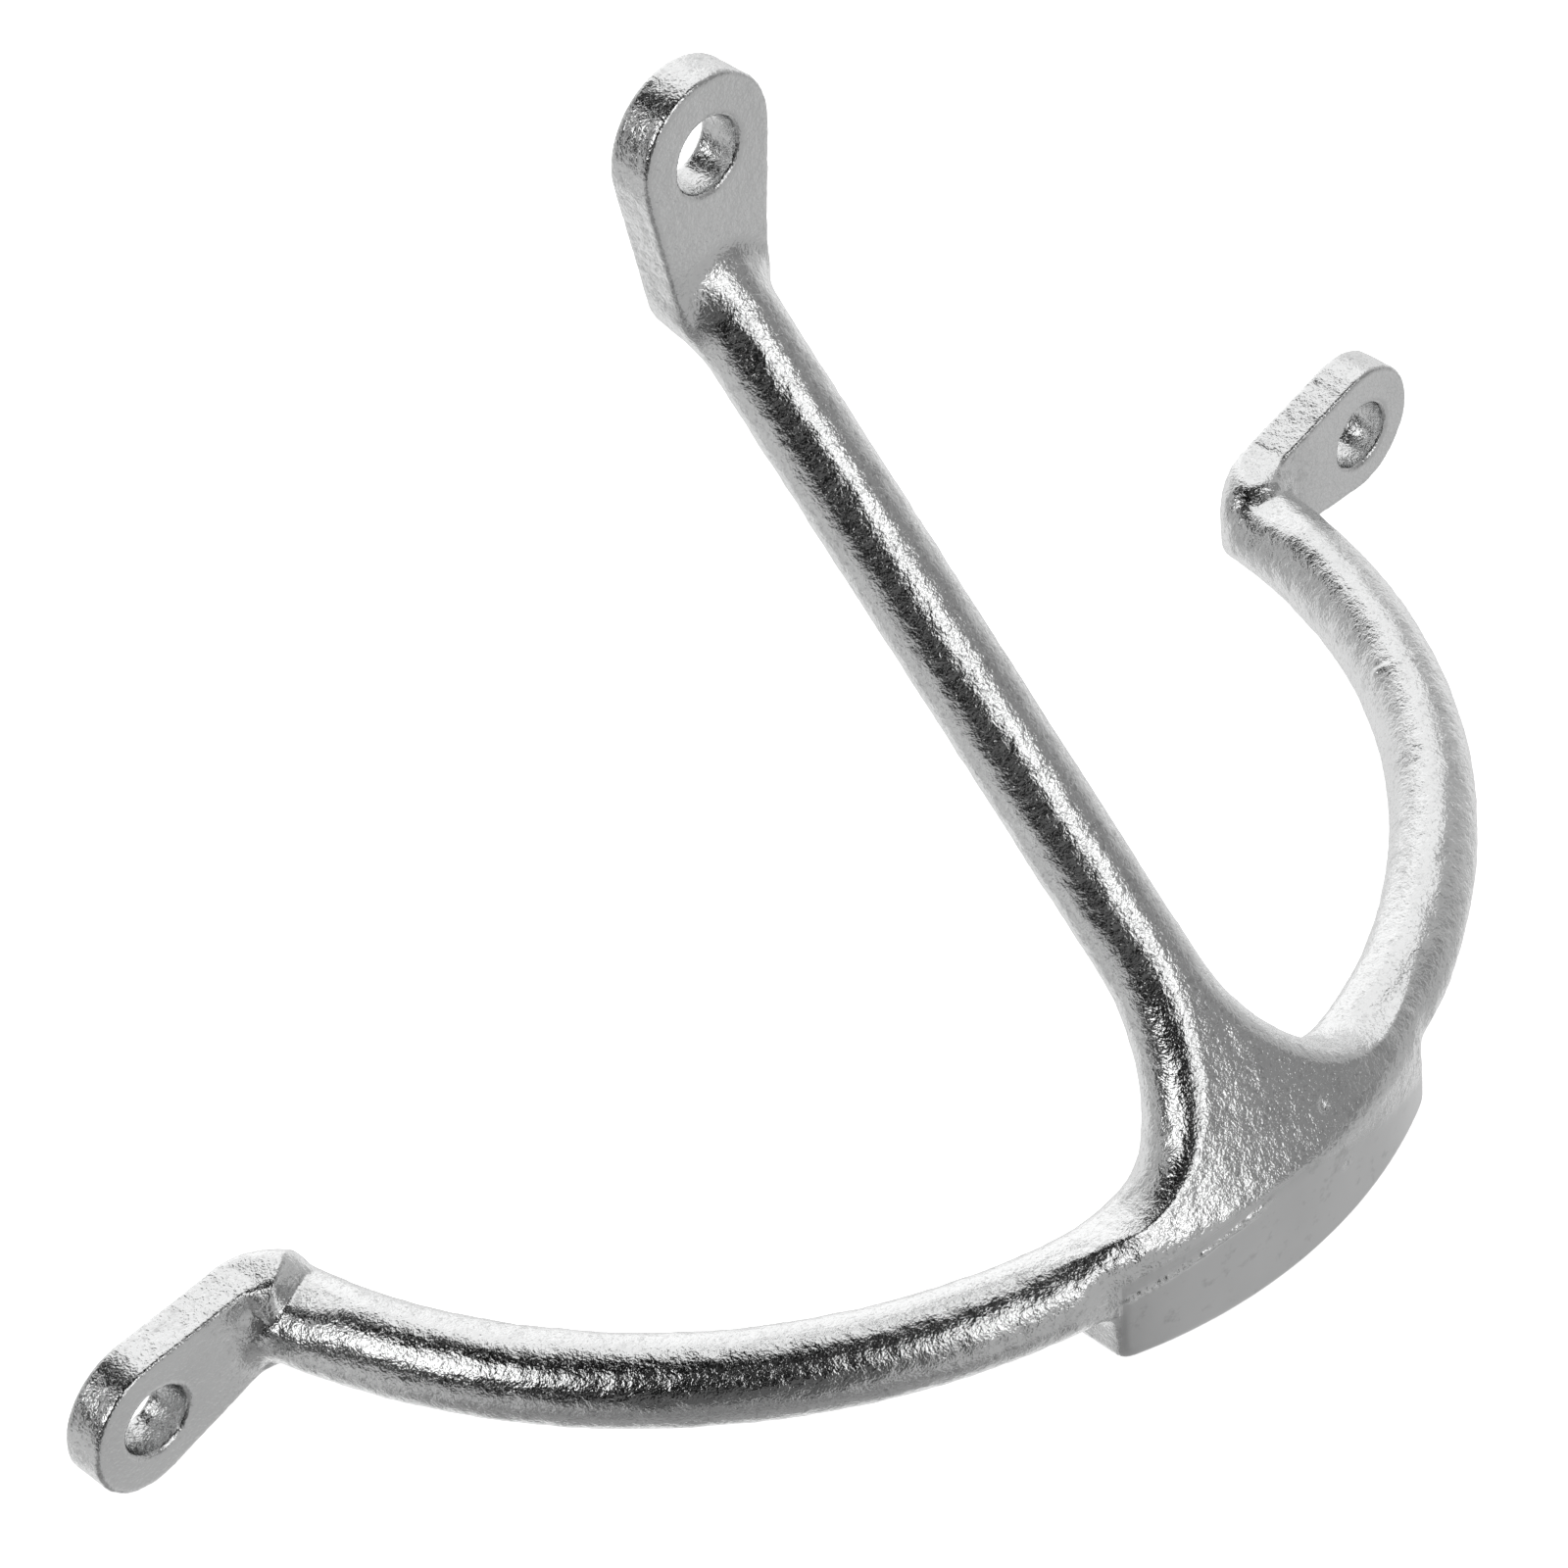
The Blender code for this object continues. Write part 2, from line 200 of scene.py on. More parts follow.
def rounded(a, b, radius):
    """Distance to a corner with a round edge, from the distances to its two sides."""
    a = a + radius
    b = b + radius
    outside = np.hypot(np.maximum(a, 0.0), np.maximum(b, 0.0))
    return np.minimum(np.maximum(a, b), 0.0) + outside - radius


def round_cone(along, across, length, start, end):
    """Flat shape between two circles of different size."""
    taper = (end - start) / length
    t = np.clip(along + taper * across / np.sqrt(1 - taper * taper), 0.0, length)
    return np.hypot(along - t, across) - (start + taper * t)


def rise_and_fall(height, x, start, rise, end, fall):
    """0 up to start, height after a smooth rise, and 0 again at end after a smooth fall."""
    return height * smooth_step((x - start) / rise) * smooth_step((end - x) / fall)


def plate(outline, y):
    """A flat lug with round edges, from the distance to its outline."""
    return rounded(outline, np.abs(y - MID_Y) - LUG_T / 2, LUG_EDGE)


BEND_Y = MID_Y - BEND_R
BEND_X = math.sqrt((BOW_R + BEND_R) ** 2 - (BEND_Y - BOW_CY) ** 2)
BOW_END = math.atan2(BEND_X, BOW_CY - BEND_Y)
BEND_LENGTH = BEND_R * BOW_END


def bow_section(turn):
    """Thickness of the round bar, and half-thickness, half-height and middle of the bow's section."""
    turn = np.minimum(turn, BOW_END)
    ahead = (FRONT_Y - BOW_CY + BOW_R * np.cos(turn)) / (FRONT_Y - BOW_FRONT_Y)
    bar = BOW_BAR + (BOW_BAR_END - BOW_BAR) * smooth_step((turn - SWELL_TURN) / SWELL_SPAN)
    ease = smooth_step(BOW_R * (turn - BOW_END) / BEND_EASE + 1)
    thick = bar + (BEND_THICK - bar) * ease
    half = bar + (BEND_HALF - bar) * ease
    return bar, thick, half, HOLE_Z + BOW_END_LIFT + BOW_RISE * ahead


def arm_bar(x, y, z, part):
    """The bar of the bow, an arc in plan, whose end bends outwards and flattens into its lug."""
    turn = np.arctan2(x, BOW_CY - y)
    u, v = x - BEND_X, y - BEND_Y
    bent = turn > BOW_END
    straight = bent & (u > 0)
    along = np.where(straight, BEND_LENGTH + u, np.where(bent, BEND_R * (BOW_END - np.arctan2(-u, v)), 0.0))
    side = np.where(bent, np.hypot(u, v) - BEND_R, np.hypot(x, y - BOW_CY) - BOW_R)
    side = np.where(straight, y - MID_Y, side)

    bar, thick, half, middle = bow_section(turn)
    done = along / BEND_LENGTH
    step_y = FRONT_Y - STEP_DEPTH - STEP_SLANT * np.maximum(LUG_NECK_X - x, 0.0)
    spread = smooth_step((done - part["spread_from"]) / part["spread"])
    spread = spread * smooth_step((y - step_y) / STEP_LENGTH)
    thick = thick + (LUG_T / 2 - thick) * smooth_step(done)
    half = half + (part["neck"] - half) * spread
    corner = bar + (LUG_EDGE - bar) * smooth_step(done * EDGE_RATE - EDGE_DELAY)
    corner = np.minimum(corner, np.minimum(thick, half))
    middle = middle + (HOLE_Z + part["lift"] + part["tilt"] - middle) * spread
    d = rounded(np.abs(side) - thick, np.abs(z - middle) - half, corner)
    return d + BEND_PAST * np.maximum(u, 0.0)


def bend_fillet(x, y, z, lug):
    """The hollow corner between the bow and the front of its lug."""
    side = np.hypot(x, y - BOW_CY) - BOW_R
    bar, thick, half, middle = bow_section(np.arctan2(x, BOW_CY - y))
    d = rounded(side - thick, np.abs(z - middle) - half, np.minimum(bar, np.minimum(thick, half)))
    d = np.maximum(np.maximum(d, -side), y - MID_Y)
    width = FILLET * smooth_step((FRONT_Y - y) / FILLET_DEPTH + FILLET_LEAD)
    width = LUG_BLEND + width * smooth_step((side + FILLET_OUT) / FILLET_SPAN)
    return np.where(y < FRONT_Y - FILLET_REACH, FAR, smooth_min(d, lug, width))


def side_lug(x, y, z, part):
    """Round head over the hole, and straight sides to the neck."""
    length = HOLE_X + part["reach"] - LUG_NECK_X
    along = x - LUG_NECK_X
    across = np.abs(z - (HOLE_Z + part["lift"]) - part["tilt"] * (1 - along / length))
    outline = round_cone(along, across, length, part["neck"], part["head"])
    return plate(np.maximum(outline, -along), y)


def along_brace(y, z):
    return (y - BRACE_TOP[1]) * DOWN[1] + (z - BRACE_TOP[2]) * DOWN[2]


def above_brace(y, z):
    return (y - BRACE_TOP[1]) * OUT[1] + (z - BRACE_TOP[2]) * OUT[2]


def upper_lug(x, y, z):
    """Round head, tapered sides and a narrow tip that ends under the brace."""
    fall = UPPER_HOLE_Z + UPPER_LIFT - z
    head = round_cone(fall, np.abs(x), UPPER_SHOULDER_DROP, UPPER_R, UPPER_SHOULDER)
    tip = round_cone(fall - UPPER_SHOULDER_DROP, np.abs(x), UPPER_TIP_DROP, UPPER_SHOULDER, UPPER_TIP)
    below = -above_brace(y, z) - BRACE_BAR
    return smooth_max(plate(np.minimum(head, tip), y), below, UPPER_FOOT_EDGE)


def brace(x, y, z):
    s, n = along_brace(y, z), above_brace(y, z)
    first = (BRACE_START_Y - BRACE_TOP[1]) / DOWN[1]
    return np.sqrt(x * x + n * n + (s - np.clip(s, first, BRACE_LENGTH)) ** 2) - BRACE_BAR


def web(x, y, z, part):
    """The plate with round edges between the brace and the arms, which follows the rounded front."""
    start, length, width = part["web_start"], part["web_length"], part["web_width"]
    follow = smooth_step((along_brace(y, z) - WEB_TOP) / (start + length - WEB_TOP))
    y = y - (FACE_R - np.sqrt(FACE_R ** 2 - np.minimum(x, WEB_REACH) ** 2)) * follow
    s, n = along_brace(y, z), above_brace(y, z)
    t = np.clip((s - start) / length, 0.0, WEB_LAST)
    root = np.sqrt(1 - t * t)
    flare = width * (1 - root)
    d = np.hypot(np.maximum(x - flare, 0.0), n) - BRACE_BAR
    steep = np.clip(width / length * t / root, 0.0, WEB_STEEPEST)
    steep = steep * np.clip((x - flare) / BRACE_BAR, 0.0, 1.0)
    return np.maximum(np.maximum(d / np.sqrt(1 + steep * steep), WEB_TOP - s), s - WEB_END)


def front_block(x, y, z, front, pad):
    """What lies behind the rounded front, with the pad below it, cut off square at both ends."""
    d = np.where(y > FACE_CY, FAR, -FACE_DEPTH - front)
    d = smooth_max(x - pad, d, PAD_END_EDGE)
    d = smooth_max(d, PAD_BOTTOM_Z - z, PAD_BOTTOM_EDGE)
    return smooth_max(d, z - FACE_TOP_Z, FACE_TOP_EDGE)


def front_distance(points):
    return np.hypot(points[:, 0] - FACE_X, points[:, 1] - FACE_CY) - FACE_R


def half_casting(points, part):
    """Signed distance of the bow, brace, web and front, with one side's own values."""
    x, y, z = np.abs(points[:, 0]), points[:, 1], points[:, 2]
    arm_x = np.abs(points[:, 0] - BOW_X)
    arm_z = z - rise_and_fall(part["arm_lift"], x, *ARM_LIFT_SPAN)
    arm_y = y - rise_and_fall(part["arm_push"], x, *ARM_PUSH_SPAN)
    lug = side_lug(x, y, z, part)
    d = smooth_min(arm_bar(arm_x, arm_y, arm_z, part), lug, LUG_BLEND)
    d = np.minimum(d, bend_fillet(arm_x, arm_y, arm_z, lug))
    web_x = np.abs(points[:, 0] - WEB_X * smooth_step((along_brace(y, z) - WEB_TOP) / WEB_X_SPAN))
    rod = np.minimum(web(web_x, y, z, part), brace(x, y, z))
    inwards = BOW_R - np.hypot(arm_x, arm_y - BOW_CY)
    d = smooth_min(d, rod, WEB_BLEND + CROTCH_BLEND * smooth_step((inwards - CROTCH_START) / CROTCH_SPAN))
    front = front_distance(points)
    d = smooth_min(d, front_block(x, y, z, front, part["pad"]), FACE_BLEND)
    beyond = np.maximum(x - part["pad"], 0.0)
    trimmed = smooth_max(d, front - FACE_CURL * beyond ** 2, FACE_EDGE)
    return np.where((y < FACE_CY) & (x < FACE_REACH), trimmed, d)


def casting(points):
    """Signed distance to the whole casting."""
    x, y, z = points[:, 0], points[:, 1], points[:, 2]
    d = np.empty(len(points))
    for part, here in ((LEFT, x < 0), (RIGHT, x >= 0)):
        d[here] = half_casting(points[here], part)
    d = smooth_min(d, upper_lug(x, y, z), UPPER_BLEND)
    depth = (y - FRONT_Y) / LUG_T
    bore = HOLE_R - np.where(x < -HOLE_X / 2, LEFT_DRAFT, HOLE_DRAFT) * depth
    d = smooth_max(d, bore - np.hypot(np.abs(x) - HOLE_X, z - HOLE_Z), HOLE_EDGE)
    d = smooth_max(d, bore - np.hypot(x, z - UPPER_HOLE_Z), HOLE_EDGE)
    return smooth_max(d, y - WALL_Y, BACK_EDGE)


def slope(points, step=0.02):
    """The distance's slope at each point, from two samples along each axis."""
    found = np.empty_like(points)
    for axis in range(3):
        shift = np.zeros(3)
        shift[axis] = step
        found[:, axis] = (casting(points + shift) - casting(points - shift)) / (2 * step)
    return found


def settle(points, rounds, furthest=0.3, flattest=0.05):
    """Points moved onto the skin along its slope."""
    for _ in range(rounds):
        g = slope(points)
        move = casting(points)[:, None] * g / np.maximum((g * g).sum(1), flattest)[:, None]
        points = points - np.clip(move, -furthest, furthest)
    return points


CORNERS = [(i, j, k) for i in (0, 1) for j in (0, 1) for k in (0, 1)]


def sampled_blocks(low, counts, batch=400):
    """Blocks of cells near the skin, and the distance at the corners of their cells."""
    size = CELL * BLOCK
    blocks = np.stack(np.meshgrid(*[np.arange(c) for c in counts], indexing="ij"), -1).reshape(-1, 3)
    near = np.abs(casting(low + (blocks + 0.5) * size)) < size * BLOCK_REACH
    blocks = blocks[near] * BLOCK
    step = np.arange(BLOCK + 1)
    lattice = np.stack(np.meshgrid(step, step, step, indexing="ij"), -1).reshape(-1, 3)
    values = np.empty((len(blocks), len(lattice)))
    for first in range(0, len(blocks), batch):
        spots = low + (blocks[first:first + batch, None, :] + lattice) * CELL
        values[first:first + batch] = casting(spots.reshape(-1, 3)).reshape(len(spots), -1)
    return blocks, values.reshape(len(blocks), BLOCK + 1, BLOCK + 1, BLOCK + 1)


def crossed_cells(blocks, values):
    """The cells that the skin crosses, and the distance at each of their corners."""
    inside = np.zeros((len(blocks), BLOCK, BLOCK, BLOCK), np.int8)
    for i, j, k in CORNERS:
        inside += values[:, i:i + BLOCK, j:j + BLOCK, k:k + BLOCK] < 0
    b, i, j, k = np.nonzero((inside > 0) & (inside < len(CORNERS)))
    cells = blocks[b] + np.stack([i, j, k], -1)
    return cells, {c: values[b, i + c[0], j + c[1], k + c[2]] for c in CORNERS}


def end_of(corner, axis):
    """The corner at the other end of a cell's edge."""
    return tuple(1 if q == axis else corner[q] for q in range(3))


def crossing_middles(at, count):
    """The middle of the places where the skin crosses each cell's edges, in cells from its first corner."""
    total = np.zeros((count, 3))
    hits = np.zeros(count)
    for corner in CORNERS:
        for axis in range(3):
            if corner[axis]:
                continue
            other = end_of(corner, axis)
            crossed = (at[corner] < 0) != (at[other] < 0)
            gap = np.where(crossed, at[corner] - at[other], 1.0)
            spot = np.repeat(np.array([corner], float), count, 0)
            spot[:, axis] += np.where(crossed, at[corner] / gap, 0.0)
            total += spot * crossed[:, None]
            hits += crossed
    return total / hits[:, None]


def joined_quads(cells, at, span):
    """A quad round each crossed edge, from the points of the four cells that share it."""
    def number(c):
        return ((c[:, 0] + 1) * span[1] + c[:, 1] + 1) * span[2] + c[:, 2] + 1

    order = np.argsort(number(cells))
    numbers = number(cells)[order]
    first = CORNERS[0]
    quads = []
    for axis in range(3):
        changed = (at[first] < 0) != (at[end_of(first, axis)] < 0)
        base = cells[changed]
        side_u = np.eye(3, dtype=int)[(axis + 1) % 3]
        side_v = np.eye(3, dtype=int)[(axis + 2) % 3]
        ring = (base - side_u - side_v, base - side_v, base, base - side_u)
        found = np.stack([order[np.searchsorted(numbers, number(c))] for c in ring], -1)
        outwards = at[first][changed] < 0
        found[~outwards] = found[~outwards][:, ::-1]
        quads.append(found)
    return np.concatenate(quads)


def skin(low, high):
    """Points and quads over the skin: one point in each cell that it crosses."""
    low = low - CELL
    counts = np.ceil((high + CELL - low) / (CELL * BLOCK)).astype(int)
    cells, at = crossed_cells(*sampled_blocks(low, counts))
    points = low + (cells + crossing_middles(at, len(cells))) * CELL
    return points, joined_quads(cells, at, counts * BLOCK + 2)


# ---------------------------------------------------------------- ground front, even lug faces, cast relief
# marks left by the mould and by handling: two ends, half-width and height (a dent is negative)
MARKS = (
    ((-0.7, 29.5, 90.9), (1.5, 30.3, 90.9), 0.30, -0.20),
    ((58.6, 2.8, 13.1), (61.8, 0.4, 14.1), 0.34, 0.26),
    ((59.4, 2.9, 13.2), (62.3, 0.9, 13.9), 0.30, -0.12),
    ((5.9, -36.9, 8.9), (6.0, -36.9, 9.0), 0.60, -0.28),
    ((5.4, -34.5, 15.6), (5.5, -34.4, 15.7), 0.55, -0.22),
    ((21.0, -33.7, 10.9), (21.5, -33.4, 9.4), 0.45, -0.18),
    ((16.3, -32.0, 14.9), (17.4, -33.0, 12.6), 0.26, -0.07),
    ((18.0, -34.2, 8.8), (19.0, -33.9, 6.6), 0.26, -0.07),
)


def marks(points):
    """Height of the marks at each point."""
    height = np.zeros(len(points))
    for first, last, width, rise in MARKS:
        first, span = np.array(first), np.array(last) - np.array(first)
        t = np.clip((points - first) @ span / (span @ span), 0.0, 1.0)
        away = np.linalg.norm(points - first - t[:, None] * span, axis=1)
        height += rise * np.exp(-(away / width) ** 2)
    return height


# heights across the front where the ground face ends, and of the rough line under that edge
GROUND_EDGE = ((-23.0, 11.5), (-16.5, 12.7), (-10.7, 13.3), (-5.0, 13.5), (-0.3, 13.3), (8.5, 10.2),
               (16.8, 7.5), (24.0, 4.5))
GROUND_BAND = 1.7               # how far from the rounded front the ground face still counts, in GROUND_SOFT
GROUND_SOFT = 0.4
GROUND_EDGE_SOFT = 0.5
GROUND_EDGE_FADE = 3.0          # the edge is softer to the right
GROUND_EDGE_SPAN = 12
ROUGH_LINE = ((-22.6, 9.1), (-16.9, 10.5), (-11.2, 11.9), (-3.4, 12.9))
ROUGH_START = 1.5
ROUGH_STOP = 5
ROUGH_WIDTH = 0.36
DENT_SHARE = 12                 # a dent of 1/12 mm is no longer ground
LUG_FACING = 0.9                # the lugs' even faces look this much towards the front
LUG_FACING_SPAN = 0.09
LUG_FACE_SETBACK = 0.6
UPPER_FACE_Z = 90
UPPER_FACE_SPAN = 5
SIDE_FACE_X = 80
SIDE_FACE_SPAN = 6
RELIEF_WAVES = ((5.0, 0.060), (2.2, 0.055), (1.1, 0.045), (0.65, 0.020))     # sizes and depths
NOISE_SHIFT = 17.3
SCRATCH_SIZE = 0.5
SCRATCH_DEPTH = 0.4
SCRATCH_LIFT = 0.16
GROUND_CALM = 0.85              # share of the relief that is missing on each even face
LUG_CALM = 0.75
BACK_CALM = 0.8
BACK_START = 0.6
BACK_SPAN = 0.5


def broken_line(x, corners):
    """Height at x of a line through the corners."""
    return np.interp(x, [c[0] for c in corners], [c[1] for c in corners])


def line_share(points):
    """1 on the rough line that the grinding left across the front."""
    x, y, z = points[:, 0], points[:, 1], points[:, 2]
    run = rise_and_fall(1.0, x, ROUGH_LINE[0][0], ROUGH_START, ROUGH_LINE[-1][0], ROUGH_STOP)
    return run * np.exp(-((z - broken_line(x, ROUGH_LINE)) / ROUGH_WIDTH) ** 2) * (y < FACE_CY)


def ground_share(points):
    """1 on the front face that was ground smooth, 0 on the rough cast skin, -1 on the torn line."""
    x, y, z = points[:, 0], points[:, 1], points[:, 2]
    on_face = smooth_step(GROUND_BAND - np.abs(front_distance(points)) / GROUND_SOFT)
    ends = np.minimum(LEFT["pad"] + x, RIGHT["pad"] - x)
    soft = GROUND_EDGE_SOFT + GROUND_EDGE_FADE * smooth_step(x / GROUND_EDGE_SPAN)
    below = smooth_step((broken_line(x, GROUND_EDGE) - z) / soft + 0.5)
    share = on_face * smooth_step(ends / GROUND_SOFT) * below
    line = line_share(points)
    share = share * (1 - np.clip(-DENT_SHARE * marks(points), 0.0, 1.0))
    return share * (1 - line) * (y < FACE_CY) - line


def lug_share(points, normals):
    """1 on the even front faces of the lugs."""
    flat = smooth_step((-normals[:, 1] - LUG_FACING) / LUG_FACING_SPAN)
    flat = flat * (points[:, 1] > FRONT_Y - LUG_FACE_SETBACK)
    upper = smooth_step((points[:, 2] - UPPER_FACE_Z) / UPPER_FACE_SPAN)
    return flat * np.maximum(upper, smooth_step((np.abs(points[:, 0]) - SIDE_FACE_X) / SIDE_FACE_SPAN))


def relief(points, normals):
    """Height of the cast skin over the smooth shape, in millimetres."""
    y = points[:, 1]
    height = np.zeros(len(points))
    rows = points.tolist()
    for size, depth in RELIEF_WAVES:
        shift = NOISE_SHIFT * size
        height += depth * np.array([noise.noise((a / size + shift, b / size, c / size)) for a, b, c in rows])
    calm = (1 - GROUND_CALM * ground_share(points)) * (1 - LUG_CALM * lug_share(points, normals))
    back = smooth_step((y - WALL_Y + BACK_START) / BACK_SPAN)
    size = SCRATCH_SIZE
    scratch = [SCRATCH_DEPTH * noise.noise((a / size, b / size, c / size)) + SCRATCH_LIFT for a, b, c in rows]
    return height * calm * (1 - BACK_CALM * back) + marks(points) + scratch * line_share(points)


def cast_mesh():
    """The whole skin with its relief, kept inside the CAD's box."""
    low, high = np.array(CAD_BOX[0]) / MM, np.array(CAD_BOX[1]) / MM
    points, quads = skin(low, high)
    points = settle(points, rounds=3)
    normals = slope(points)
    normals /= np.linalg.norm(normals, axis=1, keepdims=True)
    points = points + normals * relief(points, normals)[:, None]
    return np.clip(points, low, high), quads


# ---------------------------------------------------------------- one closed piece for each member
ARM_SEAM_X = 28.0
SEAM_TURN = math.asin(ARM_SEAM_X / BOW_R)
UPPER_SEAM_Y = FRONT_Y - 0.6
SEAM_NEAR = 1.5                 # faces this near a seam may be cut by it
# how far members reach, so that a seam's plane cuts nothing beyond its own member
BOW_TOP_Z = 25
CROWN_X = 15
CROWN_Y = 5
UPPER_START_Z = 60
UPPER_SEAM_NEAR = 3
BRACE_CUT_Z = (20, 45)
PAD_REACH_X = 25
PAD_BACK_Y = -15


def seams():
    """Each seam as a plane, and the faces that it may cut."""
    cuts = []
    for side in (-1, 1):
        cuts.append(((side * LUG_SEAM_X, 0, 0), (side, 0, 0),
                     lambda c, side=side: abs(side * c.x - LUG_SEAM_X) < SEAM_NEAR))
        tangent = (side * math.cos(SEAM_TURN), math.sin(SEAM_TURN), 0)
        cuts.append(((BOW_X, BOW_CY, 0), tangent,
                     lambda c, side=side: c.z < BOW_TOP_Z and side * c.x > CROWN_X and c.y < CROWN_Y))
    cuts.append(((0, UPPER_SEAM_Y, 0), (0, 1, 0),
                 lambda c: c.z > UPPER_START_Z and c.y > FRONT_Y - UPPER_SEAM_NEAR))
    cuts.append((tuple(BRACE_TOP + DOWN * BRACE_SEAM), tuple(DOWN),
                 lambda c: BRACE_CUT_Z[0] < c.z < BRACE_CUT_Z[1]))
    cuts.append(((0, 0, PAD_TOP_Z), (0, 0, 1),
                 lambda c: abs(c.z - PAD_TOP_Z) < SEAM_NEAR and abs(c.x) < PAD_REACH_X and c.y < PAD_BACK_Y))
    return cuts


def member_of(c):
    """Name of the CAD node whose place a face's middle is in."""
    side = "left" if c.x < 0 else "right"
    if abs(c.x) > LUG_SEAM_X:
        return side + "_lug"
    if c.z < BOW_TOP_Z and math.atan2(abs(c.x - BOW_X), BOW_CY - c.y) > SEAM_TURN:
        return side + "_arm"
    if c.z > UPPER_START_Z and c.y > UPPER_SEAM_Y:
        return "upper_lug"
    if along_brace(c.y, c.z) < BRACE_SEAM:
        return "brace_bar"
    return "wear_pad" if c.z < PAD_TOP_Z else "crown"


def caps(faces):
    """Faces that close a member where it was cut from its neighbours."""
    edges = set()
    for ring in faces:
        edges.update(zip(ring, ring[1:] + ring[:1]))
    following = {}
    for a, b in sorted(edges):
        if (b, a) not in edges:
            following.setdefault(b, []).append(a)
    closed = []
    while following:
        walk = [min(following)]
        while walk[-1] in following:
            ends = following[walk[-1]]
            step = ends.pop()
            if not ends:
                del following[walk[-1]]
            if step in walk:
                first = walk.index(step)
                closed.append(walk[first:])
                del walk[first + 1:]
            else:
                walk.append(step)
    return closed


def members(points, quads):
    """The cut mesh: positions, normals of the uncut skin, and each member's faces."""
    whole = bpy.data.meshes.new("whole")
    whole.from_pydata(points.tolist(), [], quads.tolist())
    mesh = bmesh.new()
    mesh.from_mesh(whole)
    bpy.data.meshes.remove(whole)
    for middle, normal, reached in seams():
        chosen = [f for f in mesh.faces if reached(f.calc_center_median())]
        parts = {e for f in chosen for e in f.edges} | {v for f in chosen for v in f.verts} | set(chosen)
        ordered = sorted(parts, key=lambda item: (type(item).__name__, item.index))
        bmesh.ops.bisect_plane(mesh, geom=ordered, dist=1e-4, plane_co=middle, plane_no=normal)
        mesh.verts.index_update()
        mesh.edges.index_update()
        mesh.faces.index_update()
    mesh.normal_update()
    positions = np.array([v.co for v in mesh.verts])
    normals = np.array([v.normal for v in mesh.verts])
    groups = {}
    for f in mesh.faces:
        groups.setdefault(member_of(f.calc_center_median()), []).append([v.index for v in f.verts])
    mesh.free()
    return positions, normals, groups


def member_piece(name, positions, normals, faces, material):
    """One member as a closed mesh that keeps the whole skin's shading up to its seams."""
    ends = caps(faces)
    used = sorted({i for ring in faces for i in ring})
    place = {old: new for new, old in enumerate(used)}
    rings = [[place[i] for i in ring] for ring in faces + ends]
    mesh = bpy.data.meshes.new(name)
    mesh.from_pydata((positions[used] * MM).tolist(), [], rings)
    mesh.materials.append(material)
    mesh.shade_smooth()
    even = {"ground": ground_share(positions[used]), "lug_face": lug_share(positions[used], normals[used])}
    for key, values in even.items():
        mesh.attributes.new(key, "FLOAT", "POINT").data.foreach_set("value", values.astype(np.float32))
    vectors = normals[used].tolist()
    loops = []
    for index, ring in enumerate(rings):
        if index < len(faces):
            loops.extend(vectors[i] for i in ring)
        else:
            loops.extend([tuple(mesh.polygons[index].normal)] * len(ring))
    mesh.normals_split_custom_set(loops)
    piece = bpy.data.objects.new(name, mesh)
    bpy.context.scene.collection.objects.link(piece)
    return piece


# ---------------------------------------------------------------- materials
def node(tree, kind, **inputs):
    """A new node with some of its inputs set."""
    made = tree.nodes.new(kind)
    for key, value in inputs.items():
        made.inputs[key.replace("_", " ")].default_value = value
    return made


def ramp(tree, source, low, high, first, last, kind="LINEAR"):
    """source from low to high, as a value from first to last."""
    made = tree.nodes.new("ShaderNodeMapRange")
    made.interpolation_type = kind
    for socket, value in zip(("From Min", "From Max", "To Min", "To Max"), (low, high, first, last)):
        made.inputs[socket].default_value = value
    tree.links.new(source, made.inputs["Value"])
    return made.outputs["Result"]


def maths(tree, operation, a, b):
    """The result of a sum on two values, each a number or a socket."""
    made = tree.nodes.new("ShaderNodeMath")
    made.operation = operation
    for index, value in enumerate((a, b)):
        if isinstance(value, (int, float)):
            made.inputs[index].default_value = value
        else:
            tree.links.new(value, made.inputs[index])
    return made.outputs[0]


